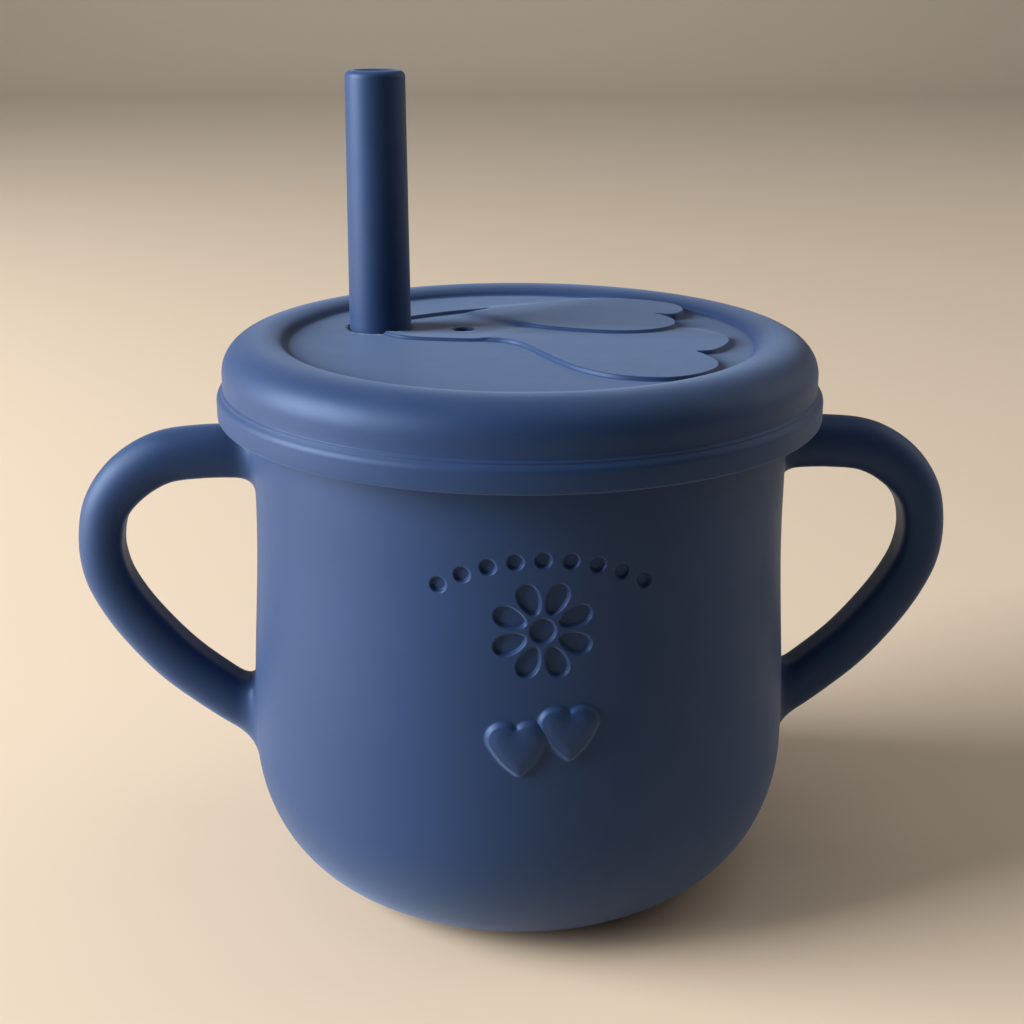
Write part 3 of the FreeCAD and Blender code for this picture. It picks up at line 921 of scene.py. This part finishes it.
# ---- the straw --------------------------------------------------------
def build_straw(material):
    low, high = straw_low[2], straw_high[2]
    profile = rounded([
        (BORE_RADIUS, low, 0.0), (STRAW_RADIUS, low, 0.5), (STRAW_RADIUS, STRAW_TAPER, 30.0),
        (MOUTH_RADIUS, high, 0.95), (BORE_RADIUS, high, 0.8), (BORE_RADIUS, high - 4, 0.0),
        (BORE_RADIUS, low + 0.5, 0.0), (BORE_RADIUS, low, 0.0),
    ], facet=0.12, step=2.0)
    shape = Turned(profile)
    skin = Map()
    skin.grid(np.linspace(0, 2 * math.pi * FLAT_RADIUS, 97), shape.along)
    shell = Shell()
    shell.add_map(skin, shape.at(skin.points) + [*straw_at, 0.0])
    make_piece("straw_moulding", shell, "straw", "straw", material)


# ---- material ---------------------------------------------------------
def silicone(name, colour, seed):
    """Matte moulded silicone: a soft powdery sheen, fine grain and faint handling marks."""
    material = bpy.data.materials.new(name)
    material.use_nodes = True
    tree = material.node_tree
    nodes, links = tree.nodes, tree.links
    shader = nodes["Principled BSDF"]
    place = nodes.new("ShaderNodeTexCoord")
    shift = nodes.new("ShaderNodeMapping")
    shift.inputs["Location"].default_value = (seed, seed * 0.7, seed * 1.3)
    links.new(place.outputs["Object"], shift.inputs["Vector"])

    def noise(scale, detail, rough):
        node = nodes.new("ShaderNodeTexNoise")
        node.inputs["Scale"].default_value = scale
        node.inputs["Detail"].default_value = detail
        node.inputs["Roughness"].default_value = rough
        links.new(shift.outputs["Vector"], node.inputs["Vector"])
        return node.outputs["Fac"]

    def ramp(source, low, high):
        node = nodes.new("ShaderNodeMapRange")
        node.inputs["From Min"].default_value = 0.3
        node.inputs["From Max"].default_value = 0.7
        node.inputs["To Min"].default_value = low
        node.inputs["To Max"].default_value = high
        links.new(source, node.inputs["Value"])
        return node.outputs["Result"]

    cloud = noise(38.0, 4.0, 0.55)
    grain = noise(5200.0, 3.0, 0.6)
    smudge = noise(120.0, 5.0, 0.6)
    tint = nodes.new("ShaderNodeMix")
    tint.data_type = "RGBA"
    tint.inputs["A"].default_value = (*[c * 0.93 for c in colour], 1)
    tint.inputs["B"].default_value = (*[c * 1.07 for c in colour], 1)
    links.new(ramp(cloud, 0.0, 1.0), tint.inputs["Factor"])
    links.new(tint.outputs["Result"], shader.inputs["Base Color"])
    links.new(ramp(smudge, 0.48, 0.56), shader.inputs["Roughness"])
    bump = nodes.new("ShaderNodeBump")
    bump.inputs["Strength"].default_value = 0.25
    bump.inputs["Distance"].default_value = 0.00003
    links.new(grain, bump.inputs["Height"])
    links.new(bump.outputs["Normal"], shader.inputs["Normal"])
    shader.inputs["IOR"].default_value = 1.45
    shader.inputs["Specular IOR Level"].default_value = 0.5
    shader.inputs["Specular Tint"].default_value = (0.50, 0.68, 1.0, 1)
    shader.inputs["Sheen Weight"].default_value = 0.25
    shader.inputs["Sheen Roughness"].default_value = 0.5
    shader.inputs["Sheen Tint"].default_value = (0.46, 0.65, 1.0, 1)
    return material


# ---- stage ------------------------------------------------------------
def floor_material():
    material = bpy.data.materials.new("pale_floor")
    material.use_nodes = True
    shader = material.node_tree.nodes["Principled BSDF"]
    shader.inputs["Base Color"].default_value = (0.68, 0.53, 0.39, 1)
    shader.inputs["Roughness"].default_value = 0.7
    return material


def build_floor():
    """A pale table that curves up into a wall far behind."""
    front, bend_start, bend, top = -3.0, 1.6, 0.6, 3.5
    turn = np.linspace(0, math.pi / 2, 16)
    curve = [(bend_start + bend * math.sin(t), bend - bend * math.cos(t)) for t in turn]
    profile = [(front, 0.0), *curve, (bend_start + bend, top)]
    verts = [(x, y, z) for y, z in profile for x in (-4.0, 4.0)]
    faces = [(2 * k, 2 * k + 1, 2 * k + 3, 2 * k + 2) for k in range(len(profile) - 1)]
    mesh = bpy.data.meshes.new("floor")
    mesh.from_pydata(verts, [], faces)
    mesh.shade_smooth()
    floor = bpy.data.objects.new("floor", mesh)
    bpy.context.scene.collection.objects.link(floor)
    mesh.materials.append(floor_material())


def area_light(name, place, size, power, colour, aim=(0.0, 0.0, 0.045)):
    light = bpy.data.lights.new(name, "AREA")
    light.shape = "RECTANGLE"
    light.size, light.size_y = size
    light.energy = power
    light.color = colour
    lamp = bpy.data.objects.new(name, light)
    lamp.location = place
    lamp.rotation_euler = (Vector(aim) - Vector(place)).to_track_quat("-Z", "Y").to_euler()
    bpy.context.scene.collection.objects.link(lamp)


def build_stage():
    build_floor()
    area_light("window", (-0.95, -0.09, 0.40), (0.65, 0.65), 30.0, (0.93, 0.97, 1.0))
    area_light("sky", (0.1, 0.0, 1.25), (1.0, 1.0), 3.0, (0.80, 0.91, 1.0))
    area_light("side", (0.95, 0.25, 0.55), (0.8, 0.8), 2.4, (1.0, 0.97, 0.94))
    area_light("backdrop", (0.0, 1.1, 1.5), (2.4, 0.6), 8.0, (0.60, 0.80, 1.0), aim=(0.0, 2.3, 0.5))
    world = bpy.data.worlds.new("room")
    world.use_nodes = True
    world.node_tree.nodes["Background"].inputs["Color"].default_value = (0.9, 0.88, 0.85, 1)
    world.node_tree.nodes["Background"].inputs["Strength"].default_value = 0.1
    bpy.context.scene.world = world
    bpy.context.scene.view_settings.view_transform = "Standard"


def build_camera():
    """A 56 mm lens in front of the cup and above it, a little to the left."""
    place, aim = math.radians(4.3), math.radians(4.35)
    tilt, roll = math.radians(18.51), math.radians(0.22)
    beside, back, height = -1.2, -216.9, 124.7
    camera = bpy.data.objects.new("camera", bpy.data.cameras.new("camera"))
    camera.data.lens = 56.2
    camera.location = Vector((
        beside * math.cos(place) + back * math.sin(place),
        back * math.cos(place) - beside * math.sin(place),
        height,
    )) * MM
    facing = Matrix.Rotation(-aim, 3, "Z") @ Matrix.Rotation(math.pi / 2 - tilt, 3, "X")
    camera.rotation_euler = (facing @ Matrix.Rotation(roll, 3, "Z")).to_euler()
    camera.data.clip_start = 0.01
    bpy.context.scene.collection.objects.link(camera)
    bpy.context.scene.camera = camera


build_camera()
build_stage()
build_cup(silicone("cup_silicone", NAVY, 0.0))
build_lid(silicone("lid_silicone", NAVY, 3.1))
build_straw(silicone("straw_silicone", NAVY, 7.7))
